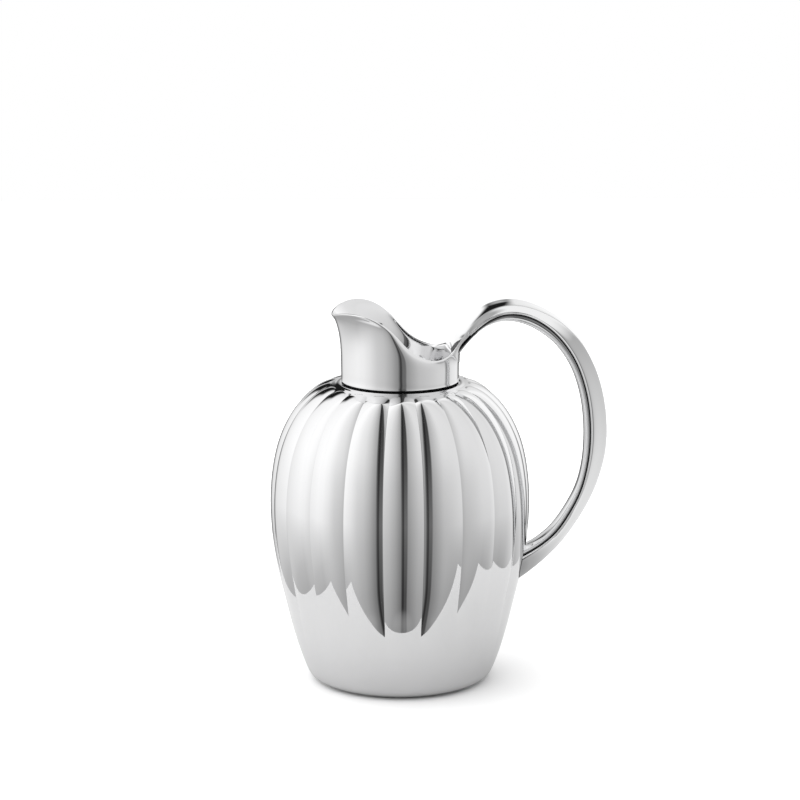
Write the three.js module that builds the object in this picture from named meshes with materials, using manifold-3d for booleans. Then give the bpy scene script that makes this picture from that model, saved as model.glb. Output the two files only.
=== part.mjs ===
// A fluted water pitcher in polished silver-coloured metal.
// Millimetres, +Z up. The origin is the centre of the base on the table.
// The handle is at +X and the pouring lip is at -X.

import * as THREE from 'three';
import Module from 'manifold-3d';
import { mergeVertices } from 'three/addons/utils/BufferGeometryUtils.js';

const wasm = await Module();
wasm.setup();

// ---- Driving dimensions ---------------------------------------------------

const BODY_RADIUS = 74.2;      // over the crests of the lobes
const SEAM_HEIGHT = 173.3;     // where the neck stands on the shoulder
const NECK_RADIUS = 33.5;      // outside of the neck at the seam
const LOBES = 20;
const LOBE_DEPTH = 1.5;        // crest to valley at the widest part
const BODY_WALL = 1.2;
const NECK_WALL = 1.5;
const HANDLE_WALL = 1.2;
const SIDE_LEAN = 0.45;         // how far the band's sides lean in, per depth
const BAND_SHARE = 0.52;        // the outer half's share of the handle's thickness
const SPIGOT = 6.0;            // length of the neck inside the body's opening
const CLEARANCE = 0.35;        // joint gap between separate pieces
const BASE_PLATE = 1.2;
const FOOT_WIDTH = 2.6;        // flat ring that stands on the table

const AROUND_BODY = LOBES * 4;
const AROUND_NECK = 72;
const ALONG_HANDLE = 42;

// ---- Helpers --------------------------------------------------------------

// A closed geometry with merged vertices and its faces turned outwards.
// A tolerance above the default also removes slivers that a cut leaves.
function closed(geometry, tolerance = 1e-4) {
  geometry.deleteAttribute('normal');
  geometry.deleteAttribute('uv');
  const merged = mergeVertices(geometry, tolerance);
  const p = merged.attributes.position;
  const a = new THREE.Vector3();
  const b = new THREE.Vector3();
  const c = new THREE.Vector3();
  const kept = [];
  let volume = 0;
  for (let i = 0; i < merged.index.count; i += 3) {
    const ids = [0, 1, 2].map((k) => merged.index.getX(i + k));
    if (new Set(ids).size < 3) continue;
    kept.push(...ids);
    a.fromBufferAttribute(p, ids[0]);
    b.fromBufferAttribute(p, ids[1]);
    c.fromBufferAttribute(p, ids[2]);
    volume += a.dot(b.cross(c));
  }
  merged.setIndex(volume < 0 ? kept.reverse() : kept);
  return merged;
}

function toSolid(geometry) {
  return new wasm.Manifold(new wasm.Mesh({
    numProp: 3,
    vertProperties: new Float32Array(geometry.attributes.position.array),
    triVerts: new Uint32Array(geometry.index.array),
  }));
}

// The largest piece of a solid, as a geometry.
function largest(solid) {
  const pieces = solid.decompose();
  pieces.sort((first, second) => second.volume() - first.volume());
  const mesh = pieces[0].getMesh();
  const geometry = new THREE.BufferGeometry();
  geometry.setAttribute('position', new THREE.BufferAttribute(mesh.vertProperties, 3));
  geometry.setIndex(new THREE.BufferAttribute(mesh.triVerts, 1));
  return closed(geometry, 0.004);
}

// A lathe whose ring i and profile point j are placed by place(angle, j).
function shapedLathe(count, around, place) {
  const outline = [];
  for (let j = 0; j < count; j += 1) outline.push(new THREE.Vector2(1, j));
  outline.push(outline[0].clone());
  const geometry = new THREE.LatheGeometry(outline, around);
  const p = geometry.attributes.position;
  for (let k = 0; k < p.count; k += 1) {
    const ring = Math.floor(k / (count + 1)) % around;
    const j = (k % (count + 1)) % count;
    const v = place((ring / around) * 2 * Math.PI, j);
    p.setXYZ(k, v.x, v.y, v.z);
  }
  return closed(geometry);
}

function polar(radius, angle, height) {
  return new THREE.Vector3(radius * Math.cos(angle), radius * Math.sin(angle), height);
}

// A profile moved sideways: to the left of its direction when distance > 0.
function offsetProfile(points, distance) {
  return points.map((point, i) => {
    const before = points[Math.max(i - 1, 0)];
    const after = points[Math.min(i + 1, points.length - 1)];
    const along = after.clone().sub(before).normalize();
    return new THREE.Vector2(point.x - along.y * distance, point.y + along.x * distance);
  });
}

// ---- Body -----------------------------------------------------------------

// Crest profile as fractions of the body's radius and of the seam's height.
const bodyProfile = [
  [0.613, 0.0], [0.650, 0.006], [0.700, 0.018], [0.737, 0.045], [0.770, 0.085],
  [0.826, 0.162], [0.888, 0.265], [0.951, 0.381], [0.989, 0.496], [1.0, 0.608],
  [0.982, 0.710], [0.934, 0.802], [0.866, 0.871], [0.786, 0.922], [0.708, 0.957],
  [0.633, 0.981], [0.560, 0.9915], [0.500, 0.997], [0.445, 0.9985],
].map(([r, z]) => new THREE.Vector2(r * BODY_RADIUS, z * SEAM_HEIGHT));

// Depth of the valleys between the lobes: they fade out towards the base
// and end at the smooth collar under the neck.
function valleyDepth(radius, height) {
  const fromBase = THREE.MathUtils.smoothstep(height, 10, 55);
  const toCollar = 1 - THREE.MathUtils.smoothstep(height, 0.988 * SEAM_HEIGHT, 0.996 * SEAM_HEIGHT);
  return LOBE_DEPTH * (radius / BODY_RADIUS) * fromBase * toCollar;
}

function lobed(radius, angle, height) {
  const turn = (angle * LOBES) / (2 * Math.PI);
  const across = 2 * (turn - Math.round(turn));
  return radius - valleyDepth(radius, height) * across * across;
}

function bodyGeometry() {
  const inside = offsetProfile(bodyProfile, BODY_WALL);
  inside[0].set(bodyProfile[0].x - FOOT_WIDTH, 0);
  inside[1].set(bodyProfile[0].x - FOOT_WIDTH, BASE_PLATE + 0.8);
  inside[2].set(bodyProfile[2].x - 2.4, BASE_PLATE + 2.2);
  inside[inside.length - 1].x = bodyProfile[bodyProfile.length - 1].x;
  const loop = [...bodyProfile, ...inside.reverse()];
  return shapedLathe(loop.length, AROUND_BODY, (angle, j) => (
    polar(lobed(loop[j].x, angle, loop[j].y), angle, loop[j].y)
  ));
}

// The body's outside grown by the joint gap and filled, for cutting the handle's foot.
function bodyCutter() {
  const outside = offsetProfile(bodyProfile, -CLEARANCE);
  const axis = [new THREE.Vector2(0.001, outside[outside.length - 1].y), new THREE.Vector2(0.001, -1)];
  const loop = [...outside, ...axis];
  return toSolid(shapedLathe(loop.length, AROUND_BODY, (angle, j) => (
    polar(j < outside.length ? lobed(loop[j].x, angle, loop[j].y) : 0.001, angle, loop[j].y)
  )));
}

// ---- Base plate -----------------------------------------------------------

function basePlateGeometry() {
  const radius = bodyProfile[0].x - FOOT_WIDTH - CLEARANCE;
  const outline = [
    [0, 0], [radius - 0.3, 0], [radius, 0.3], [radius, BASE_PLATE - 0.3],
    [radius - 0.3, BASE_PLATE], [0, BASE_PLATE],
  ].map(([r, z]) => new THREE.Vector2(r, z));
  const geometry = new THREE.LatheGeometry(outline, AROUND_BODY);
  geometry.rotateX(Math.PI / 2);
  return closed(geometry);
}

// ---- Neck and pouring lip -------------------------------------------------

// The rim seen from above: angle from the handle in degrees, radius and height.
const rimCurve = new THREE.CatmullRomCurve3([
  [0, 34.6, 185.6], [12, 34.6, 186.3], [24, 34.9, 188.6], [35, 35.2, 190.6],
  [43, 34.9, 190.0], [51, 33.9, 189.7], [61, 32.6, 190.8], [72, 32.0, 193.3],
  [81, 31.9, 196.7], [90, 32.2, 201.6], [99, 33.0, 207.2], [108, 34.4, 211.5],
  [117, 36.0, 214.5], [129, 37.3, 216.4], [145, 37.9, 216.3], [163, 38.7, 214.4], [180, 39.0, 213.1],
].map(([a, r, z]) => new THREE.Vector3(a, r, z)));
const rimPoints = rimCurve.getPoints(360);

function rimAt(angle) {
  const degrees = Math.abs(THREE.MathUtils.radToDeg(Math.atan2(Math.sin(angle), Math.cos(angle))));
  const next = Math.max(1, rimPoints.findIndex((point) => point.x >= degrees));
  const before = rimPoints[next - 1];
  const after = rimPoints[next];
  const share = THREE.MathUtils.clamp((degrees - before.x) / (after.x - before.x), 0, 1);
  return before.clone().lerp(after, share);
}

// Outside radius of the neck: close to straight below, flaring near the rim.
function neckRadius(angle, share) {
  const flare = 0.35 * share + 0.65 * share ** 4;
  return NECK_RADIUS + (rimAt(angle).y - NECK_RADIUS) * flare;
}

const neckFoot = SEAM_HEIGHT + CLEARANCE;
const neckLevels = [0, 0.16, 0.32, 0.48, 0.64, 0.78, 0.9, 0.98];

// A point of the neck's wall: share of the height, and depth in from the outside.
function neckPoint(angle, share, depth) {
  const height = neckFoot + (rimAt(angle).z - neckFoot) * share;
  return polar(neckRadius(angle, share) - depth, angle, height);
}

function neckGeometry() {
  const outer = neckLevels.map((share) => [share, 0]);
  const inner = neckLevels.map((share) => [share, NECK_WALL]).reverse();
  const rows = [...outer, [1, 0.4], [1, NECK_WALL - 0.4], ...inner];
  const tip = SEAM_HEIGHT - SPIGOT;
  const stepIn = 0.9;
  return shapedLathe(rows.length + 3, AROUND_NECK, (angle, j) => {
    if (j === rows.length) return polar(NECK_RADIUS - NECK_WALL - stepIn, angle, tip);
    if (j === rows.length + 1) return polar(NECK_RADIUS - stepIn, angle, tip);
    if (j === rows.length + 2) return polar(NECK_RADIUS - stepIn, angle, neckFoot);
    return neckPoint(angle, ...rows[j]);
  });
}

// The neck's outside grown by the joint gap and filled, for cutting the handle's root.
function neckCutter() {
  const count = neckLevels.length;
  return toSolid(shapedLathe(count + 3, AROUND_NECK, (angle, j) => {
    if (j < count) return neckPoint(angle, neckLevels[j], -CLEARANCE);
    const rim = neckPoint(angle, 1, -CLEARANCE);
    if (j === count) return rim.setZ(rim.z + CLEARANCE);
    return polar(0.001, angle, j === count + 1 ? 1.15 * SEAM_HEIGHT : 0.9 * SEAM_HEIGHT);
  }));
}

// ---- Handle ---------------------------------------------------------------

// Stations along the handle's two outer ridges, from the rim over the top and
// down to the body: x, z, half width, depth of the trough, thickness.
const stations = [
  [24.0, 186.4, 20.6, 8.6, 12.8], [27.4, 190.4, 20.3, 7.6, 11.8], [31.6, 194.9, 17.8, 6.0, 10.4],
  [35.9, 200.9, 16.2, 4.6, 9.4], [39.6, 206.6, 15.4, 3.6, 9.0], [44.2, 211.8, 14.8, 2.9, 9.0],
  [50.2, 216.0, 13.8, 2.4, 9.4], [56.6, 218.3, 12.8, 2.0, 10.0], [62.4, 218.9, 12.1, 1.8, 10.5],
  [68.0, 218.5, 11.8, 1.8, 10.8], [74.0, 217.1, 11.5, 1.7, 11.1], [80.0, 214.8, 11.1, 1.6, 11.4],
  [88.0, 210.5, 10.8, 1.5, 11.9], [96.0, 204.2, 10.5, 1.5, 12.2], [102.6, 196.6, 10.4, 1.5, 12.4],
  [108.4, 187.0, 10.4, 1.5, 12.5], [113.2, 174.6, 10.4, 1.5, 12.5], [116.2, 161.0, 10.4, 1.5, 12.5],
  [117.4, 147.0, 10.4, 1.5, 12.4], [116.6, 134.0, 10.4, 1.5, 11.8], [113.6, 120.8, 10.4, 1.5, 10.3],
  [108.5, 107.4, 10.4, 1.5, 9.0], [101.5, 94.8, 10.4, 1.5, 8.4], [92.6, 82.2, 10.6, 1.5, 8.6],
  [80.9, 70.4, 11.2, 1.4, 9.8], [69.0, 61.3, 11.8, 1.2, 12.0], [57.6, 52.6, 12.2, 1.0, 12.8],
];
const ridgeCurve = new THREE.CatmullRomCurve3(
  stations.map(([x, z]) => new THREE.Vector3(x, 0, z)), false, 'centripetal',
);
const sizeCurve = new THREE.CatmullRomCurve3(
  stations.map(([, , w, q, t]) => new THREE.Vector3(w, q, t)),
);

// Cross-sections are [across, depth below the ridges] and close on themselves.
// The band's sides lean in towards the fingers, and the inner half is rounded.
function outerSection(width, trough, thickness) {
  const wall = HANDLE_WALL;
  const side = BAND_SHARE * thickness;
  const foot = width - SIDE_LEAN * side;
  const half = [
    [0, trough], [0.5 * width, 0.72 * trough], [width - 0.6, 0.1], [width, 0.4],
    [foot, side], [foot - wall, side], [width - wall - 0.6, 0.5 * trough + wall],
    [0.5 * width, 0.72 * trough + wall], [0, trough + wall],
  ];
  const mirrored = half.slice(1, -1).reverse().map(([u, v]) => [-u, v]);
  return [...half, ...mirrored];
}

function innerSection(width, trough, thickness) {
  const wall = HANDLE_WALL;
  const side = BAND_SHARE * thickness;
  const top = side + CLEARANCE;
  const edge = width - SIDE_LEAN * side - 0.5;
  const bulge = thickness - top;
  const half = [
    [0, thickness + 0.2], [0.5 * edge, thickness - 0.05 * bulge], [0.82 * edge, thickness - 0.3 * bulge],
    [edge, top + 0.25 * bulge], [edge - 0.1, top], [edge - wall, top],
    [edge - wall - 0.1, top + 0.2 * bulge], [0.78 * edge - 0.5, thickness - 0.3 * bulge - wall],
    [0.5 * edge, thickness - 0.05 * bulge - wall], [0, thickness + 0.2 - wall],
  ];
  const mirrored = half.slice(1, -1).reverse().map(([u, v]) => [-u, v]);
  return [...half, ...mirrored];
}

// A section that changes along the ridge curve: an extrusion whose rings are
// carried to their stations.
function sweep(section) {
  const size = (share) => sizeCurve.getPoint(share).toArray();
  const flat = section(...size(0.5)).map(([u, v]) => new THREE.Vector2(u, -v));
  const geometry = new THREE.ExtrudeGeometry(new THREE.Shape(flat), {
    depth: 1, steps: ALONG_HANDLE, bevelEnabled: false,
  });
  const p = geometry.attributes.position;
  for (let k = 0; k < p.count; k += 1) {
    const here = new THREE.Vector2(p.getX(k), p.getY(k));
    const share = p.getZ(k);
    let nearest = 0;
    flat.forEach((point, i) => {
      if (point.distanceTo(here) < flat[nearest].distanceTo(here)) nearest = i;
    });
    const [u, v] = section(...size(share))[nearest];
    const ridge = ridgeCurve.getPoint(share);
    const along = ridgeCurve.getTangent(share);
    p.setXYZ(k, ridge.x + along.z * v, u, ridge.z - along.x * v);
  }
  return toSolid(closed(geometry));
}

const handleCutter = bodyCutter().add(neckCutter());

// ---- Assembly -------------------------------------------------------------

function metal(colour, roughness) {
  return new THREE.MeshStandardMaterial({ color: colour, roughness, metalness: 1.0 });
}

const group = new THREE.Group();

function addPiece(name, geometry, material) {
  const mesh = new THREE.Mesh(geometry, material);
  mesh.name = name;
  group.add(mesh);
}

addPiece('body_shell', bodyGeometry(), metal(0xd6d7d8, 0.08));
addPiece('base_plate', basePlateGeometry(), metal(0xc9cacb, 0.22));
addPiece('neck_spout', neckGeometry(), metal(0xd8d9da, 0.07));
addPiece('handle_outer_shell', largest(sweep(outerSection).subtract(handleCutter)), metal(0xd7d8d9, 0.08));
addPiece('handle_inner_shell', largest(sweep(innerSection).subtract(handleCutter)), metal(0xd5d6d7, 0.08));

export default group;
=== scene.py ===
"""A fluted water pitcher in mirror-polished, silver-coloured metal, in a white studio."""

import math

import bmesh
import bpy
import numpy as np
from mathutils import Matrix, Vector


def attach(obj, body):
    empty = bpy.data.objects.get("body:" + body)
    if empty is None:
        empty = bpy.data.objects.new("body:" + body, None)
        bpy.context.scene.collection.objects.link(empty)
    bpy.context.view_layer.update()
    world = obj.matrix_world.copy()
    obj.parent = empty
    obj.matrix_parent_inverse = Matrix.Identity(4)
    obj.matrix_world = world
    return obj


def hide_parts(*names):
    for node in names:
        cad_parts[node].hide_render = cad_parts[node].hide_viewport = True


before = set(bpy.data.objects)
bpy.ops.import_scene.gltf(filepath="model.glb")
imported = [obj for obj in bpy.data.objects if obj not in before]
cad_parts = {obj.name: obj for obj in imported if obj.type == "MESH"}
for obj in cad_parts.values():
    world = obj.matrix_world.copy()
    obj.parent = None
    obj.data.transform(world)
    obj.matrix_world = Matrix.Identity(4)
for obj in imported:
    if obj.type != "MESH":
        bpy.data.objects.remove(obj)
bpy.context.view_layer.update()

MM = 0.001

# ---- Driving dimensions, in millimetres -------------------------------------

# Body. The lobes fade in between two heights and end in domes below a round collar.
BODY_RADIUS = 74.2
BODY_WALL = 1.2
SEAM_HEIGHT = 173.3
LOBES = 20
LOBE_DEPTH = 1.45
LOBES_START = 4
LOBES_FULL = 72
COLLAR_RADIUS = 38.8
DOME_LENGTH = 5.0
DOME_LIFT = 0.45

# Bottom. The body's lower edge is turned in to a flange that holds a disc.
BOTTOM_RADIUS = 45.5
FLANGE = 2.6
DISC_GAP = 0.25
DISC_THICKNESS = 1.25

# Neck. A spigot sits in the body, and a groove above it is the soldered joint.
NECK_RADIUS = 33.5
NECK_WALL = 1.5
# The neck widens by a small straight taper and by a power of the height, lower under the pouring lip.
TAPER = 0.04
LIP_FLARE = 4.5
REAR_FLARE = 10.5
FUNNEL = 3.6
FUNNEL_HEIGHT = 24.0
SPIGOT = 6.0
GROOVE_DEPTH = 1.3
GROOVE_HEIGHT = 0.6
NECK_FOOT = SEAM_HEIGHT + GROOVE_HEIGHT

# Handle. The band grows out of this much of the rim, on both sides of the rear.
ROOT_HALF_ANGLE = 36.0
LIP_COLUMNS = 24
BAND_SHEET = 1.4
BAND_ROWS = 44
RIDGE = 0.55
# The bead starts inside the root and has its full width further along.
BEAD_START = -6.0
BEAD_FULL = 36.0
BEAD_ROWS = 280
# The band's side leans inwards, less at the foot, and a step ends it at this share of its depth.
SIDE_LEAN = 0.46
FOOT_LEAN = 0.26
STEP_SHARE = 0.72
# Only what is lower and further out than this can touch the body.
FOOT_TOP = 110.0
FOOT_INNER = 40.0


# ---- Curves -----------------------------------------------------------------

def spline(knots, values):
    """A cubic spline with continuous curvature through rows of values, as a function."""
    t = np.asarray(knots, float)
    v = np.asarray(values, float)
    if v.ndim == 1:
        v = v[:, None]
    n = len(t)
    h = np.diff(t)
    matrix = np.zeros((n, n))
    right = np.zeros((n, v.shape[1]))
    matrix[0, 0] = matrix[-1, -1] = 1.0
    matrix[0, 1] = matrix[-1, -2] = -0.5
    for i in range(1, n - 1):
        matrix[i, i - 1: i + 2] = h[i - 1], 2 * (h[i - 1] + h[i]), h[i]
        right[i] = 6 * ((v[i + 1] - v[i]) / h[i] - (v[i] - v[i - 1]) / h[i - 1])
    bend = np.linalg.solve(matrix, right)

    def at(x):
        x = np.atleast_1d(np.asarray(x, float))
        i = np.clip(np.searchsorted(t, x) - 1, 0, n - 2)
        a = (t[i + 1] - x)[:, None]
        b = (x - t[i])[:, None]
        w = h[i][:, None]
        return (bend[i] * a ** 3 + bend[i + 1] * b ** 3) / (6 * w) + (
            v[i] / w - bend[i] * w / 6) * a + (v[i + 1] / w - bend[i + 1] * w / 6) * b

    return at


def chord_spline(points):
    """A spline through points, and its length along the chords."""
    p = np.asarray(points, float)
    t = np.concatenate([[0.0], np.cumsum(np.linalg.norm(np.diff(p, axis=0), axis=1))])
    return spline(t, p), t


def smooth(x, low, high):
    """A soft step from 0 at low to 1 at high."""
    s = min(max((x - low) / (high - low), 0.0), 1.0)
    return s * s * (3 - 2 * s)


# ---- Mesh helpers -----------------------------------------------------------

def make_object(name, vertices, faces, material):
    """A smooth closed object from vertices in millimetres."""
    mesh = bpy.data.meshes.new(name)
    mesh.from_pydata([Vector(v) * MM for v in vertices], [], faces)
    mesh.validate()
    for polygon in mesh.polygons:
        polygon.use_smooth = True
    obj = bpy.data.objects.new(name, mesh)
    bpy.context.scene.collection.objects.link(obj)
    mesh.materials.append(material)
    fix = bmesh.new()
    fix.from_mesh(mesh)
    bmesh.ops.recalc_face_normals(fix, faces=fix.faces)
    fix.to_mesh(mesh)
    fix.free()
    return obj


def grid_faces(rows, columns, closed_rows=False):
    """Quads of rings of vertices, where vertex (i, j) has the number i * columns + j."""
    faces = []
    for i in range(rows if closed_rows else rows - 1):
        for j in range(columns):
            k, m = (i + 1) % rows, (j + 1) % columns
            faces.append((i * columns + j, i * columns + m, k * columns + m, k * columns + j))
    return faces


# ---- Body -------------------------------------------------------------------

# Radius and height of the envelope that the lobes' crests touch.
BODY_PROFILE = [
    (BOTTOM_RADIUS, 0.0), (48.2, 0.9), (51.6, 3.0), (54.3, 7.6), (57.0, 14.6), (61.3, 28.0),
    (65.9, 46.0), (70.6, 66.0), (73.4, 86.0), (74.2, 105.5), (72.8, 123.5), (69.2, 139.5),
    (64.0, 151.5), (58.4, 160.0), (52.6, 166.0), (47.1, 170.0), (41.6, 172.2), (37.0, 173.0),
]
LOBE_ANGLE = 2 * math.pi / LOBES
body_curve, body_length = chord_spline(BODY_PROFILE)
body_samples = body_curve(np.linspace(0, body_length[-1], 200))


def lobe_drop(radius, height, across):
    """How far the surface lies below the envelope.

    It is a valley between lobes, and a dome where a lobe meets the collar.
    """
    depth = LOBE_DEPTH * (radius / BODY_RADIUS) * smooth(height, LOBES_START, LOBES_FULL)
    if height < 0.5 * SEAM_HEIGHT:
        return depth * across * across
    end = min(max((COLLAR_RADIUS + DOME_LENGTH - radius) / DOME_LENGTH, 0.0), 1.0)
    return depth * (min(1.0, across * across + end * end) - DOME_LIFT * smooth(end, 0, 1))


def lobe_columns():
    """Angles around the body and the place across the lobe, -1 to 1, closer at the valleys."""
    across = [-1.0, -0.985, -0.955, -0.9, -0.8, -0.66, -0.5, -0.33, -0.165, 0.0]
    across += [-a for a in across[-2:0:-1]]
    return [((lobe + 0.5 * a) * LOBE_ANGLE, a) for lobe in range(LOBES) for a in across]


def seat_on_body(x, y, z):
    """Hold a point of the handle's foot inside the body's wall, so it doesn't stand out into the vessel."""
    lobe = math.atan2(y, x) / LOBE_ANGLE
    surface = float(np.interp(z, body_samples[:, 1], body_samples[:, 0]))
    least = surface - lobe_drop(surface, z, 2 * (lobe - round(lobe))) - 0.5 * BODY_WALL
    scale = max(1.0, least / math.hypot(x, y))
    return x * scale, y * scale, z


def make_body(material):
    """The lobed shell: outside, rolled upper edge, inside and flange, as one closed surface."""
    collar_start = body_length[-1] - 12
    places = np.concatenate([np.linspace(0, collar_start, 130),
                             np.linspace(collar_start, body_length[-1], 41)[1:]])
    outer = body_curve(places)
    tangent = np.gradient(outer, places, axis=0)
    tangent /= np.linalg.norm(tangent, axis=1)[:, None]
    normal = np.stack([tangent[:, 1], -tangent[:, 0]], axis=1)
    rolled_edge = [(36.2, 173.12), (35.4, 173.2), (34.4, 173.2), (33.5, 173.0), (33.1, 172.5),
                   (33.1, 171.9), (33.6, 171.6), (34.6, 171.5)]
    opening = BOTTOM_RADIUS - FLANGE
    flange = [(48.2, 3.2), (46.0, 2.4), (43.6, 2.0), (opening, 1.6), (opening, 0.3),
              (opening + 0.3, 0.0), (44.6, 0.0)]
    inside_low, inside_radius = 3.4, 36
    rows = [(p, n, 0.0) for p, n in zip(outer, normal)]
    rows += [(np.array(p), None, 0.0) for p in rolled_edge]
    rows += [(p, n, BODY_WALL) for p, n in list(zip(outer, normal))[::-4]
             if p[1] - BODY_WALL * n[1] > inside_low and p[0] - BODY_WALL * n[0] > inside_radius]
    rows += [(np.array(p), None, 0.0) for p in flange]
    columns = lobe_columns()
    vertices = []
    for point, out, wall in rows:
        for angle, across in columns:
            r, z = point
            if out is not None:
                r, z = point - out * (wall + lobe_drop(point[0], point[1], across))
            vertices.append((r * math.cos(angle), r * math.sin(angle), z))
    faces = grid_faces(len(rows), len(columns), closed_rows=True)
    return make_object("fluted_body", vertices, faces, material)


def make_base(material):
    """A flat disc with rounded edges."""
    radius = BOTTOM_RADIUS - FLANGE - DISC_GAP
    top = DISC_THICKNESS
    profile = [(0.01, 0.0), (radius * 0.5, 0.0), (radius - 1.2, 0.0), (radius - 0.3, 0.05),
               (radius, 0.35), (radius, top - 0.35), (radius - 0.3, top - 0.05),
               (radius - 1.2, top), (radius * 0.5, top), (0.01, top)]
    count = 160
    vertices = [(r * math.cos(a), r * math.sin(a), z) for r, z in profile
                for a in (2 * math.pi * k / count for k in range(count))]
    faces = grid_faces(len(profile), count)
    faces += [tuple(range(count)), tuple(range((len(profile) - 1) * count, len(profile) * count))]
    return make_object("bottom_disc", vertices, faces, material)


# ---- Neck, pouring lip and handle band --------------------------------------

# Rim seen from above: angle from the handle in degrees, radius, height.
RIM = [
    (0, 33.9, 186.0), (9, 34.0, 186.6), (18, 34.3, 188.2), (27, 34.9, 190.6), (36, 35.2, 192.7),
    (43, 34.7, 191.4), (51, 33.8, 190.2), (61, 32.6, 190.8), (72, 32.0, 193.3), (81, 31.9, 196.7),
    (90, 32.2, 201.6), (99, 33.0, 207.2), (108, 34.4, 211.5), (117, 36.0, 214.5), (129, 37.3, 216.4),
    (145, 37.9, 216.3), (163, 38.7, 214.4), (180, 39.0, 213.1),
]
# Both sides of the rim, and a few points of the next turn at each end so that it closes smoothly.
rim_both = [(-a, r, z) for a, r, z in RIM[:0:-1]] + RIM
rim_before = [(a - 360, r, z) for a, r, z in rim_both[-5:-1]]
rim_after = [(a + 360, r, z) for a, r, z in rim_both[1:5]]
rim_full = rim_before + rim_both + rim_after
rim_curve = spline([a for a, _, _ in rim_full], [(r, z) for _, r, z in rim_full])


def degrees_from_handle(angle):
    """The turn from the handle, -180 to 180 degrees."""
    return math.degrees(math.atan2(math.sin(angle), math.cos(angle)))


def rim_at(angle):
    """Radius and height of the rim."""
    radius, height = rim_curve(degrees_from_handle(angle))[0]
    return radius, height


def neck_point(angle, share, depth, lift=0.0):
    """A point of the neck, at a share of the way up to the rim, that flares earlier under the pouring lip."""
    rim_radius, rim_height = rim_at(angle)
    under_lip = smooth(abs(degrees_from_handle(angle)), 100, 150)
    power = LIP_FLARE + (REAR_FLARE - LIP_FLARE) * (1 - under_lip)
    flare = TAPER * share + (1 - TAPER) * share ** power
    radius = NECK_RADIUS + (rim_radius - NECK_RADIUS) * flare - depth
    height = NECK_FOOT + (rim_height - NECK_FOOT) * share + lift
    return radius * math.cos(angle), radius * math.sin(angle), height


def inner_depth(angle, share):
    """The wall gets thicker below the rim, so the mouth is a shallow funnel inside."""
    below = (rim_at(angle)[1] - NECK_FOOT) * (1 - share)
    return NECK_WALL + FUNNEL * (1 - (1 - min(below / FUNNEL_HEIGHT, 1.0)) ** 2)


# Stations along the handle's ridges, from the rim to the body:
# x, z, half width, trough depth, depth of the band's side, whole thickness, squareness of the band.
STATIONS = [
    (30.8, 196.0, 18.8, 3.5, 2.6, 4.8, 0.1), (33.2, 199.4, 17.8, 3.6, 3.2, 5.0, 0.3),
    (36.0, 203.4, 16.8, 3.6, 3.9, 5.6, 0.6), (39.8, 208.0, 15.8, 3.4, 4.4, 6.6, 0.9),
    (45.0, 212.9, 14.8, 3.0, 4.9, 8.0, 1.0), (50.6, 216.3, 13.8, 2.6, 5.2, 9.3, 1.0),
    (56.6, 218.3, 12.8, 2.2, 5.3, 10.0, 1.0), (62.4, 218.9, 12.1, 1.9, 5.4, 10.5, 1.0),
    (68.0, 218.5, 11.8, 1.8, 5.4, 10.8, 1.0), (74.0, 217.1, 11.5, 1.7, 5.5, 11.1, 1.0),
    (80.0, 214.8, 11.1, 1.6, 5.8, 11.4, 1.0), (88.0, 210.5, 10.8, 1.5, 6.6, 11.9, 1.0),
    (96.0, 204.2, 10.5, 1.5, 7.5, 12.2, 1.0), (102.6, 196.6, 10.4, 1.5, 8.1, 12.4, 1.0),
    (108.4, 187.0, 10.4, 1.5, 8.5, 12.5, 1.0), (113.2, 174.6, 10.4, 1.5, 8.8, 12.6, 1.0),
    (116.2, 161.0, 10.4, 1.5, 8.9, 12.6, 1.0), (117.4, 147.0, 10.4, 1.5, 8.9, 12.5, 1.0),
    (116.6, 134.0, 10.4, 1.5, 8.4, 11.8, 1.0), (113.6, 120.8, 10.4, 1.5, 7.3, 10.3, 1.0),
    (108.5, 107.4, 10.4, 1.5, 6.0, 8.9, 1.0), (101.5, 94.8, 10.5, 1.4, 5.3, 8.3, 1.0),
    (92.6, 82.2, 10.8, 1.3, 5.3, 8.3, 1.0), (80.9, 70.4, 11.6, 1.2, 7.4, 9.8, 1.0),
    (69.0, 61.3, 12.8, 1.0, 9.8, 13.0, 1.0), (64.4, 58.3, 13.2, 1.0, 10.4, 14.0, 1.0),
]
handle_path, handle_length = chord_spline([(s[0], s[1]) for s in STATIONS])
handle_sizes = spline(handle_length, [s[2:] for s in STATIONS])
ACROSS = [-1.0, -0.84, -0.64, -0.43, -0.21, 0.0, 0.21, 0.43, 0.64, 0.84, 1.0]


def handle_frame(s):
    """Place on the ridge line, unit vector away from the finger gap, and the sizes there."""
    here = handle_path(s)[0]
    along = (handle_path(s + 0.05) - handle_path(s - 0.05))[0]
    along /= np.linalg.norm(along)
    return here, np.array([-along[1], along[0]]), handle_sizes(s)[0]


def handle_point(s, across, depth):
    """A point beside the ridge line, at a distance from the middle plane and below the ridges."""
    here, out, _ = handle_frame(s)
    return here[0] - out[0] * depth, across, here[1] - out[1] * depth


def side_lean(s):
    """How much the band's side leans inwards, less where the handle meets the body."""
    return SIDE_LEAN + (FOOT_LEAN - SIDE_LEAN) * smooth(s, handle_length[-1] - 45, handle_length[-1] - 5)


def band_foot(s, width, side):
    """Half width where the leaning side ends in a step."""
    return width - side_lean(s) * STEP_SHARE * side


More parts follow.
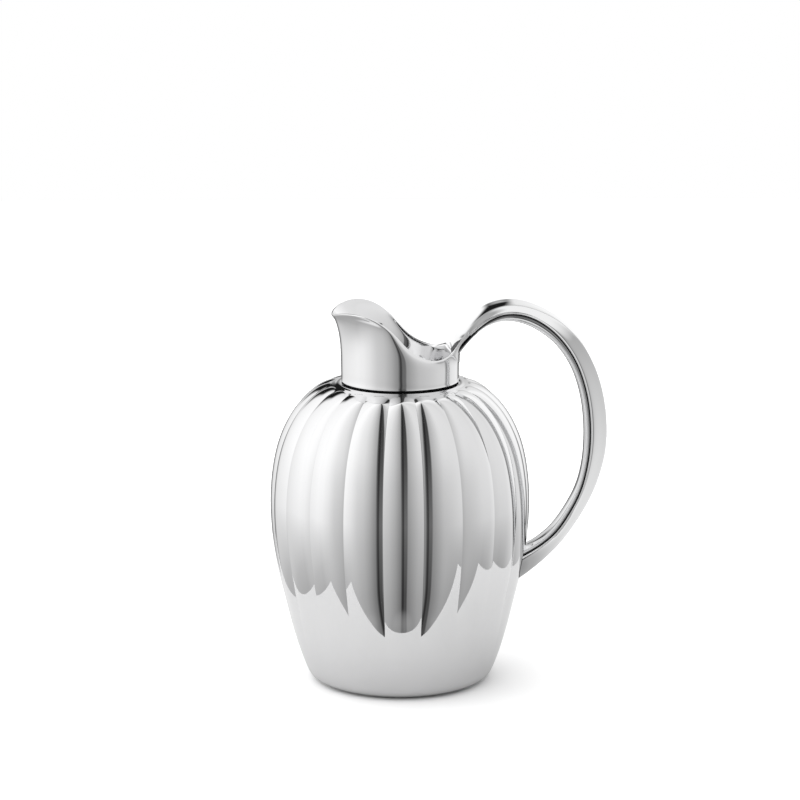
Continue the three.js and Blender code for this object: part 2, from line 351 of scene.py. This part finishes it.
def band_section(s):
    """Trough points, ridge points and underside points of the band at one station."""
    _, _, (width, trough, side, _, square) = handle_frame(s)
    trough_points = []
    edge = width - RIDGE
    for u in ACROSS:
        depth = trough * (1 - u * u) + (0.22 if abs(u) == 1 else 0.12 * abs(u))
        trough_points.append(handle_point(s, edge * u, depth))
    # The square underside has a leaning side and a step. The thin one follows the trough.
    under = []
    step = STEP_SHARE * side
    foot = band_foot(s, width, side)
    lean = side_lean(s)
    box = [(width - 0.7 * lean, 0.7), (width - 0.5 * lean * step, 0.5 * step), (foot, step),
           (foot - 0.12, side - 0.9), (foot - 0.85, side - 0.05), (0, max(side, trough + 1.2))]
    box += [(-u, v) for u, v in box[4::-1]]
    for u, (box_u, box_v) in zip(ACROSS, box[::-1]):
        thin_u = u * (width - (0.15 if abs(u) == 1 else 0.4))
        thin_v = trough * (1 - u * u) + (0.75 if abs(u) == 1 else BAND_SHEET)
        under_u = thin_u + (box_u - thin_u) * square
        under_v = thin_v + (box_v - thin_v) * square
        under.append(handle_point(s, under_u, under_v))
    ridges = [handle_point(s, -width, 0.0), handle_point(s, width, 0.0)]
    return trough_points, ridges, under


def make_neck_and_band(material):
    """One smooth cage for the neck, the lip and the band that flows out of the rim."""
    columns = len(ACROSS)
    last = columns - 1
    rear_step = 2 * ROOT_HALF_ANGLE / last
    front_step = (360 - 2 * ROOT_HALF_ANGLE) / LIP_COLUMNS
    rear = [math.radians(-ROOT_HALF_ANGLE + rear_step * k) for k in range(columns)]
    front = [math.radians(ROOT_HALF_ANGLE + front_step * k) for k in range(1, LIP_COLUMNS)]
    angles = rear + front
    n = len(angles)
    vertices, faces, kinds = [], [], []

    def ring(place):
        start = len(vertices)
        vertices.extend(place(angle) for angle in angles)
        return start

    def polar(radius, height):
        return lambda a: (radius * math.cos(a), radius * math.sin(a), height)

    shares = [0.06, 0.16, 0.3, 0.46, 0.64, 0.8, 0.92]
    low = NECK_FOOT
    bore = NECK_RADIUS - NECK_WALL - FUNNEL
    step = NECK_RADIUS - GROOVE_DEPTH
    rings = [ring(polar(bore, low - 2)), ring(polar(bore, low - SPIGOT + 0.4)),
             ring(polar(bore + 0.3, low - SPIGOT)), ring(polar(step - 0.3, low - SPIGOT)),
             ring(polar(step, low - SPIGOT + 0.4)), ring(polar(step, low - 0.25)),
             ring(polar(step + 0.25, low)), ring(polar(NECK_RADIUS - 0.55, low)),
             ring(polar(NECK_RADIUS + 0.1, low + 0.6))]
    rings += [ring(lambda a, s=s: neck_point(a, s, 0.0)) for s in shares]
    outer_top = ring(lambda a: neck_point(a, 1.0, 0.0, -0.7))
    rings.append(outer_top)
    mid_top = ring(lambda a: neck_point(a, 1.0, 0.5 * NECK_WALL))
    inner_top = ring(lambda a: neck_point(a, 1.0, NECK_WALL, -0.7))
    inner = [inner_top]
    inner += [ring(lambda a, s=s: neck_point(a, s, inner_depth(a, s))) for s in reversed(shares)]

    def add(face, kind):
        faces.append(face)
        kinds.append(kind)

    for chain in (rings, inner + [rings[0]]):
        for low_ring, high_ring in zip(chain, chain[1:]):
            for j in range(n):
                m = (j + 1) % n
                add((low_ring + j, low_ring + m, high_ring + m, high_ring + j), 0)
    for j in range(last, n):
        m = (j + 1) % n
        add((outer_top + j, outer_top + m, mid_top + m, mid_top + j), 0)
        add((mid_top + j, mid_top + m, inner_top + m, inner_top + j), 0)

    loop = [outer_top + k for k in range(columns)] + [mid_top + last]
    loop += [inner_top + k for k in range(last, -1, -1)] + [mid_top]
    for s in np.linspace(0, handle_length[-1], BAND_ROWS):
        trough, ridges, under = band_section(s)
        start = len(vertices)
        vertices.extend(under + [ridges[1]] + trough[::-1] + [ridges[0]])
        new = list(range(start, start + len(loop)))
        for k in range(len(loop)):
            m = (k + 1) % len(loop)
            add((loop[k], loop[m], new[m], new[k]), 1)
        loop = new
    add(tuple(loop), 1)
    used = sorted({v for face in faces for v in face})
    renumber = {v: k for k, v in enumerate(used)}
    vertices = [vertices[v] for v in used]
    faces = [tuple(renumber[v] for v in face) for face in faces]

    # Move the cage outwards until the smoothed surface passes through the points.
    mesh = bmesh.new()
    for v in vertices:
        mesh.verts.new(v)
    mesh.verts.ensure_lookup_table()
    mesh.verts.index_update()
    for face in faces:
        mesh.faces.new([mesh.verts[k] for k in face])
    target = np.array(vertices)
    near, far, valence, whole = [], [], [], []
    for v in mesh.verts:
        near.append([e.other_vert(v).index for e in v.link_edges])
        opposite = []
        for f in v.link_faces:
            if len(f.verts) == 4:
                ring_ids = [x.index for x in f.verts]
                opposite.append(ring_ids[(ring_ids.index(v.index) + 2) % 4])
        far.append(opposite)
        valence.append(len(v.link_edges))
        whole.append(len(opposite) == len(v.link_edges))
    cage = target.copy()
    for _ in range(12):
        limit = cage.copy()
        for k in range(len(cage)):
            if whole[k]:
                size = valence[k]
                limit[k] = (size * size * cage[k] + 4 * cage[near[k]].sum(axis=0) + cage[far[k]].sum(axis=0)
                            ) / (size * (size + 5))
        cage += 0.9 * (target - limit)
    for v, place in zip(mesh.verts, cage):
        v.co = Vector(place) * MM
    for f, kind in zip(mesh.faces, kinds):
        f.material_index = kind
        f.smooth = True
    bmesh.ops.recalc_face_normals(mesh, faces=mesh.faces)
    data = bpy.data.meshes.new("neck_and_band")
    mesh.to_mesh(data)
    mesh.free()
    for _ in range(2):
        data.materials.append(material)
    obj = bpy.data.objects.new("neck_and_band", data)
    bpy.context.scene.collection.objects.link(obj)
    fine = obj.modifiers.new("smooth", "SUBSURF")
    fine.levels = fine.render_levels = 3
    fine.use_limit_surface = True
    smooth_mesh = bpy.data.meshes.new_from_object(
        obj.evaluated_get(bpy.context.evaluated_depsgraph_get()), preserve_all_data_layers=False)
    bpy.data.objects.remove(obj)
    for v in smooth_mesh.vertices:
        x, y, z = v.co / MM
        if x > FOOT_INNER and z < FOOT_TOP:
            v.co = Vector(seat_on_body(x, y, z)) * MM
    return smooth_mesh


def split_piece(source, kind, name, material):
    """The faces of one kind as a closed object that keeps the whole surface's shading normals."""
    normals = [v.vector.copy() for v in source.vertex_normals]
    mesh = bmesh.new()
    mesh.from_mesh(source)
    layer = mesh.verts.layers.int.new("source")
    for v in mesh.verts:
        v[layer] = v.index + 1
    bmesh.ops.delete(mesh, geom=[f for f in mesh.faces if f.material_index != kind], context="FACES")
    edge = [e for e in mesh.edges if e.is_boundary]
    if edge:
        cap = bmesh.ops.holes_fill(mesh, edges=edge, sides=0)["faces"]
        bmesh.ops.triangulate(mesh, faces=cap)
    mesh.verts.index_update()
    kept = [normals[v[layer] - 1] if v[layer] > 0 else v.normal.copy() for v in mesh.verts]
    for f in mesh.faces:
        f.material_index = 0
        f.smooth = True
    mesh.verts.layers.int.remove(layer)
    data = bpy.data.meshes.new(name)
    mesh.to_mesh(data)
    mesh.free()
    data.materials.clear()
    data.materials.append(material)
    data.normals_split_custom_set_from_vertices(kept)
    obj = bpy.data.objects.new(name, data)
    bpy.context.scene.collection.objects.link(obj)
    return obj


def bead_section(foot, top, thick):
    """Half outline of the rounded inner half, from its hidden edge to the middle of the finger side."""
    deep = thick - top
    points = [(foot - 1.4, top - 0.2), (foot - 1.0, top + 0.1), (foot - 0.6, top + 0.4),
              (foot - 0.35, top + 0.95), (foot - 0.55, top + 0.42 * deep),
              (foot - 1.35, top + 0.64 * deep), (0.68 * foot - 0.2, top + 0.83 * deep),
              (0.36 * foot, top + 0.96 * deep), (0.0, thick)]
    curve, t = chord_spline(points)
    return curve(np.linspace(0, t[-1], 18))


def make_bead(material):
    """The inner half of the hollow handle, which shows as a bead under the band's side."""
    vertices, shade = [], []
    for s in np.linspace(BEAD_START, handle_length[-1] + 2.0, BEAD_ROWS):
        _, _, (width, _, side, thick, _) = handle_frame(max(s, 0.0))
        root = smooth(s, BEAD_START, BEAD_FULL)
        foot = band_foot(s, width, side) * root + (width - 4.5) * (1 - root)
        half = bead_section(foot, side + 0.1, thick)
        outline = [(u, v) for u, v in half] + [(-u, v) for u, v in half[-2::-1]]
        for u, v in outline:
            place = handle_point(s, u, v)
            vertices.append(seat_on_body(*place) if place[2] < FOOT_TOP else place)
        # Painted shade along the bead's hidden edge, in the groove under the band's step.
        edge = [1.0, 1.0, 0.75, 0.2] + [0.0] * (len(half) - 4)
        shade += edge + edge[-2::-1]
    section = len(outline)
    faces = grid_faces(BEAD_ROWS, section)
    faces += [tuple(range(section)), tuple(range((BEAD_ROWS - 1) * section, BEAD_ROWS * section))]
    bead = make_object("handle_bead", vertices, faces, material)
    groove = bead.data.attributes.new("groove", "FLOAT", "POINT")
    groove.data.foreach_set("value", shade)
    return bead


# ---- Materials --------------------------------------------------------------

# Painted shade: a near-black, matt colour that stands in for the shade in the joints' grooves.
GROOVE_SHADE_COLOUR = (0.012, 0.012, 0.013, 1)
GROOVE_SHADE_ROUGHNESS = 0.5


def polished_metal(name, colour, roughness=0.03, tint=0.012, joint=None):
    """Buffed metal, with painted shade: a dark, matt colour in the groove where it has a joint.

    The joint is a range of heights or the name of an attribute.
    """
    material = bpy.data.materials.new(name)
    material.use_nodes = True
    nodes, links = material.node_tree.nodes, material.node_tree.links
    shader = nodes["Principled BSDF"]
    shader.inputs["Metallic"].default_value = 1.0
    place = nodes.new("ShaderNodeTexCoord")
    cloud = nodes.new("ShaderNodeTexNoise")
    cloud.inputs["Scale"].default_value = 18.0
    cloud.inputs["Detail"].default_value = 4.0
    links.new(place.outputs["Object"], cloud.inputs["Vector"])
    shade = nodes.new("ShaderNodeValToRGB")
    shade.color_ramp.elements[0].position = 0.3
    shade.color_ramp.elements[1].position = 0.7
    shade.color_ramp.elements[0].color = (*[c - tint for c in colour], 1)
    shade.color_ramp.elements[1].color = (*[c + tint for c in colour], 1)
    links.new(cloud.outputs["Fac"], shade.inputs["Fac"])
    wipe = nodes.new("ShaderNodeTexNoise")
    wipe.inputs["Scale"].default_value = 60.0
    wipe.inputs["Detail"].default_value = 6.0
    links.new(place.outputs["Object"], wipe.inputs["Vector"])
    rough = nodes.new("ShaderNodeMapRange")
    rough.inputs["From Min"].default_value = 0.3
    rough.inputs["From Max"].default_value = 0.7
    rough.inputs["To Min"].default_value = roughness * 0.6
    rough.inputs["To Max"].default_value = roughness * 1.4
    links.new(wipe.outputs["Fac"], rough.inputs["Value"])
    if joint is None:
        links.new(shade.outputs["Color"], shader.inputs["Base Color"])
        links.new(rough.outputs["Result"], shader.inputs["Roughness"])
        return material

    if isinstance(joint, str):
        mask_node = nodes.new("ShaderNodeAttribute")
        mask_node.attribute_name = joint
        mask = mask_node.outputs["Fac"]
    else:
        split = nodes.new("ShaderNodeSeparateXYZ")
        links.new(place.outputs["Object"], split.inputs[0])
        band = nodes.new("ShaderNodeMapRange")
        band.inputs["From Min"].default_value = joint[0] * MM
        band.inputs["From Max"].default_value = joint[1] * MM
        band.inputs["To Min"].default_value = 1
        band.inputs["To Max"].default_value = 0
        links.new(split.outputs["Z"], band.inputs["Value"])
        mask = band.outputs["Result"]
    # Painted shade: the mask turns the colour near black and the finish matt in the groove.
    dark = nodes.new("ShaderNodeMix")
    dark.data_type = "RGBA"
    links.new(mask, dark.inputs[0])
    links.new(shade.outputs["Color"], dark.inputs[6])
    dark.inputs[7].default_value = GROOVE_SHADE_COLOUR
    links.new(dark.outputs[2], shader.inputs["Base Color"])
    matt = nodes.new("ShaderNodeMix")
    links.new(mask, matt.inputs[0])
    links.new(rough.outputs["Result"], matt.inputs[2])
    matt.inputs[3].default_value = GROOVE_SHADE_ROUGHNESS
    links.new(matt.outputs[0], shader.inputs["Roughness"])
    return material


# ---- Studio -----------------------------------------------------------------

TARGET_HEIGHT = 0.1625
CAMERA_DISTANCE = 1.710
CAMERA_ELEVATION = math.radians(11.7)
CAMERA_AZIMUTH = math.radians(-1.5)
CAMERA_LENS = 135.0
CAMERA_SENSOR = 36.0
# What the body's metal gives back of the light. Light levels are divided by it.
MIRROR_SHARE = 0.83
# The edges of the mirrored table top, in metres.
TABLE_LEFT_FRONT = (-0.152, -0.111)
TABLE_RIGHT_BACK = (0.215, 0.30)


def add_camera():
    """A long lens a little above the pitcher, aimed at the upper part of the body."""
    data = bpy.data.cameras.new("camera")
    data.lens = CAMERA_LENS
    data.sensor_width = CAMERA_SENSOR
    camera = bpy.data.objects.new("camera", data)
    bpy.context.scene.collection.objects.link(camera)
    flat = math.cos(CAMERA_ELEVATION) * CAMERA_DISTANCE
    camera.location = (flat * math.sin(CAMERA_AZIMUTH), -flat * math.cos(CAMERA_AZIMUTH),
                       TARGET_HEIGHT + math.sin(CAMERA_ELEVATION) * CAMERA_DISTANCE)
    look = Vector((0, 0, TARGET_HEIGHT)) - camera.location
    camera.rotation_euler = look.to_track_quat("-Z", "Y").to_euler()
    bpy.context.scene.camera = camera


def add_world():
    """White paper that is seen, soft boxes and dark gaps that metal mirrors, soft light for matt things."""
    world = bpy.data.worlds.new("studio")
    bpy.context.scene.world = world
    world.use_nodes = True
    nodes, links = world.node_tree.nodes, world.node_tree.links
    nodes.clear()

    def math_node(operation, *inputs):
        node = nodes.new("ShaderNodeMath")
        node.operation = operation
        for k, value in enumerate(inputs):
            if isinstance(value, (int, float)):
                node.inputs[k].default_value = value
            else:
                links.new(value, node.inputs[k])
        return node.outputs[0]

    def ramp(value, stops, kind="LINEAR"):
        node = nodes.new("ShaderNodeValToRGB")
        node.color_ramp.interpolation = kind
        elements = node.color_ramp.elements
        while len(elements) > 1:
            elements.remove(elements[-1])
        elements[0].position, first = stops[0]
        elements[0].color = (first, first, first, 1)
        for position, grey in stops[1:]:
            element = elements.new(position)
            element.color = (grey, grey, grey, 1)
        links.new(value, node.inputs[0])
        return node.outputs[0]

    def mix(share, low, high):
        node = nodes.new("ShaderNodeMix")
        node.data_type = "FLOAT"
        for socket, value in zip((node.inputs[0], node.inputs[2], node.inputs[3]), (share, low, high)):
            if isinstance(value, (int, float)):
                socket.default_value = value
            else:
                links.new(value, socket)
        return node.outputs[0]

    coordinates = nodes.new("ShaderNodeTexCoord")
    split = nodes.new("ShaderNodeSeparateXYZ")
    links.new(coordinates.outputs["Generated"], split.inputs[0])
    x, y, z = split.outputs
    # Azimuth from the viewer's side, 0 to 1 over -180 to 180 degrees, right positive.
    overhead = math_node("MULTIPLY", math_node("MAXIMUM", z, 0.0), 0.4)
    turn = math_node("ARCTAN2", x, math_node("SUBTRACT", overhead, y))
    turn = math_node("DIVIDE", math_node("SUBTRACT", turn, CAMERA_AZIMUTH), 2 * math.pi)
    turn = math_node("ADD", turn, 0.5)
    rise = math_node("ADD", math_node("MULTIPLY", z, 0.5), 0.5)

    def a(degrees):
        """An azimuth as a place on the ramps."""
        return degrees / 360 + 0.5

    def level(srgb):
        """The light that the body mirrors as a grey of 0 to 255."""
        c = srgb / 255
        return ((c + 0.055) / 1.055) ** 2.4 / MIRROR_SHARE

    def window(value, low, high, soft):
        """1 between two values of -1 to 1, with soft edges."""
        return ramp(value, [(0.5 + 0.5 * (low - soft), 0.0), (0.5 + 0.5 * (low + soft), 1.0),
                            (0.5 + 0.5 * (high - soft), 1.0), (0.5 + 0.5 * (high + soft), 0.0)], "EASE")

    around = ramp(turn, [(a(degrees), level(srgb)) for degrees, srgb in (
        (-180, 203), (-160, 214), (-135, 228), (-110, 235), (-90, 239), (-75, 235), (-60, 222),
        (-45, 201), (-30, 190), (-16, 168), (-5, 138), (16, 150), (24, 164), (38, 184), (60, 195),
        (80, 206), (105, 211), (122, 224), (145, 234), (160, 214), (180, 203),
    )])
    height_front = ramp(rise, [
        (0.0, 0.55), (0.2, 0.7), (0.29, 0.84), (0.395, 1.0), (0.465, 1.08), (0.545, 1.18), (0.63, 1.3),
        (0.71, 1.4), (0.79, 1.46), (1.0, 1.5),
    ])
    height_side = ramp(rise, [
        (0.0, 0.4), (0.24, 0.48), (0.29, 0.58), (0.345, 0.8), (0.395, 1.0), (0.465, 1.08), (0.545, 1.13),
        (0.63, 1.16), (0.79, 1.14), (1.0, 1.1),
    ])
    aside = ramp(turn, [(a(-85), 1.0), (a(-45), 0.0), (a(45), 0.0), (a(85), 1.0)])
    open_studio = math_node("MULTIPLY", around, mix(aside, height_front, height_side))
    # The paper right behind the object hangs in shade.
    toward = nodes.new("ShaderNodeVectorMath")
    toward.operation = "DOT_PRODUCT"
    links.new(coordinates.outputs["Generated"], toward.inputs[0])
    flat = math.cos(CAMERA_ELEVATION)
    toward.inputs[1].default_value = (-math.sin(CAMERA_AZIMUTH) * flat, math.cos(CAMERA_AZIMUTH) * flat,
                                      -math.sin(CAMERA_ELEVATION))
    shade = ramp(toward.outputs["Value"], [(0.84, 0.0), (0.965, 1.0)], "EASE")
    low_down = ramp(rise, [(0.45, 1.0), (0.5, 0.3)])
    open_studio = mix(math_node("MULTIPLY", shade, low_down), open_studio, level(110))
    # The gap between the two big soft boxes, dark in front and overhead, with the camera stand in it.
    gap = ramp(turn, [(a(-3.5), 0.0), (a(-1.0), 1.0), (a(11.0), 1.0), (a(13.5), 0.0)])
    gap_light = ramp(rise, [(0.2, level(72)), (0.4, level(102)), (0.55, level(90)), (0.7, level(78)),
                            (1.0, level(58))])
    stand = ramp(turn, [(a(-0.5), 0.0), (a(0.8), 1.0), (a(3.6), 1.0), (a(5.2), 0.0)])
    gap_light = mix(math_node("MULTIPLY", stand, 0.72), gap_light, level(22))
    glossy = mix(gap, open_studio, gap_light)
    # The lit floor in front of the table.
    below = ramp(rise, [(0.1, 1.0), (0.165, 0.0)])
    front = ramp(math_node("ADD", math_node("MULTIPLY", y, 0.5), 0.5), [(0.5, 1.0), (0.62, 0.0)])
    glossy = mix(math_node("MULTIPLY", below, front), glossy, level(228))
    # The unlit room above the white backdrop, behind.
    centred = math_node("ADD", math_node("MULTIPLY", x, 0.5), 0.5)
    behind = ramp(math_node("ADD", math_node("MULTIPLY", y, 0.5), 0.5), [(0.55, 0.0), (0.65, 1.0)])
    room = math_node("MULTIPLY", window(centred, -0.42, 0.04, 0.08), window(rise, 0.17, 0.62, 0.08))
    glossy = mix(math_node("MULTIPLY", room, behind), glossy, level(25))
    # Matt surfaces get the light of a big soft lamp, upper left, on top of the general light.
    toward_lamp = math_node("ADD", math_node("MULTIPLY", x, -0.6), math_node("MULTIPLY", z, 0.8))
    lamp = ramp(math_node("ADD", math_node("MULTIPLY", toward_lamp, 0.5), 0.5),
                [(0.55, 0.0), (0.95, 1.0)], "EASE")
    matt = math_node("ADD", math_node("MULTIPLY", lamp, 1.1), 1.0)
    path = nodes.new("ShaderNodeLightPath")
    value = mix(path.outputs["Is Glossy Ray"], matt, glossy)
    value = mix(path.outputs["Is Camera Ray"], value, 1.0)
    background = nodes.new("ShaderNodeBackground")
    links.new(value, background.inputs["Color"])
    output = nodes.new("ShaderNodeOutputWorld")
    links.new(background.outputs[0], output.inputs[0])


def pale_card(name, low, high, height, grey):
    """A flat horizontal sheet of pale paper."""
    material = bpy.data.materials.new(name)
    material.use_nodes = True
    nodes, links = material.node_tree.nodes, material.node_tree.links
    shader = nodes["Principled BSDF"]
    shader.inputs["Roughness"].default_value = 0.7
    shader.inputs["Specular IOR Level"].default_value = 0.0
    noise = nodes.new("ShaderNodeTexNoise")
    noise.inputs["Scale"].default_value = 30.0
    shade = nodes.new("ShaderNodeValToRGB")
    shade.color_ramp.elements[0].color = (grey - 0.01, grey - 0.01, grey - 0.01, 1)
    shade.color_ramp.elements[1].color = (grey + 0.01, grey + 0.01, grey + 0.01, 1)
    links.new(noise.outputs["Fac"], shade.inputs["Fac"])
    links.new(shade.outputs["Color"], shader.inputs["Base Color"])
    mesh = bpy.data.meshes.new(name)
    corners = [(low[0], low[1], 0), (high[0], low[1], 0), (high[0], high[1], 0), (low[0], high[1], 0)]
    mesh.from_pydata(corners, [], [(0, 1, 2, 3)])
    mesh.materials.append(material)
    card = bpy.data.objects.new(name, mesh)
    card.location.z = height
    bpy.context.scene.collection.objects.link(card)
    return card


def add_table():
    """The floor that is seen, and the table top that the metal mirrors, whose edges are close."""
    floor = pale_card("floor", (-1.5, -1.0), (1.5, 2.0), -0.0006, 0.9)
    floor.visible_glossy = False
    table = pale_card("table", TABLE_LEFT_FRONT, TABLE_RIGHT_BACK, -0.0002, 0.56)
    table.visible_camera = False
    table.visible_diffuse = False
    table.visible_shadow = False


# ---- Assembly ---------------------------------------------------------------

bpy.context.scene.view_settings.view_transform = "Standard"
add_camera()
add_world()
add_table()

body_metal = polished_metal("body_polish", (0.83, 0.83, 0.835))
# Painted shade: the neck is dark and matt from the spigot up to its foot in the groove.
neck_metal = polished_metal("neck_polish", (0.84, 0.84, 0.845), joint=(NECK_FOOT - 0.2, NECK_FOOT + 0.05))
# Painted light: the band is the body's metal, given a lighter colour so that it mirrors brighter.
band_metal_painted_light = polished_metal("band_painted_light", (0.93, 0.932, 0.935))
# Painted shade where the bead meets the band, from the mask made in make_bead.
bead_metal = polished_metal("bead_polish", (0.83, 0.833, 0.838), joint="groove")
base_metal = polished_metal("base_satin", (0.66, 0.66, 0.67), roughness=0.3)


def add_piece(piece, node):
    """Hang a piece on the pitcher in place of the CAD's node."""
    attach(piece, "root")
    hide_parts(node)


add_piece(make_body(body_metal), "body_shell")
add_piece(make_base(base_metal), "base_plate")
whole = make_neck_and_band(neck_metal)
add_piece(split_piece(whole, 0, "neck_and_lip", neck_metal), "neck_spout")
add_piece(split_piece(whole, 1, "handle_band", band_metal_painted_light), "handle_outer_shell")
add_piece(make_bead(bead_metal), "handle_inner_shell")
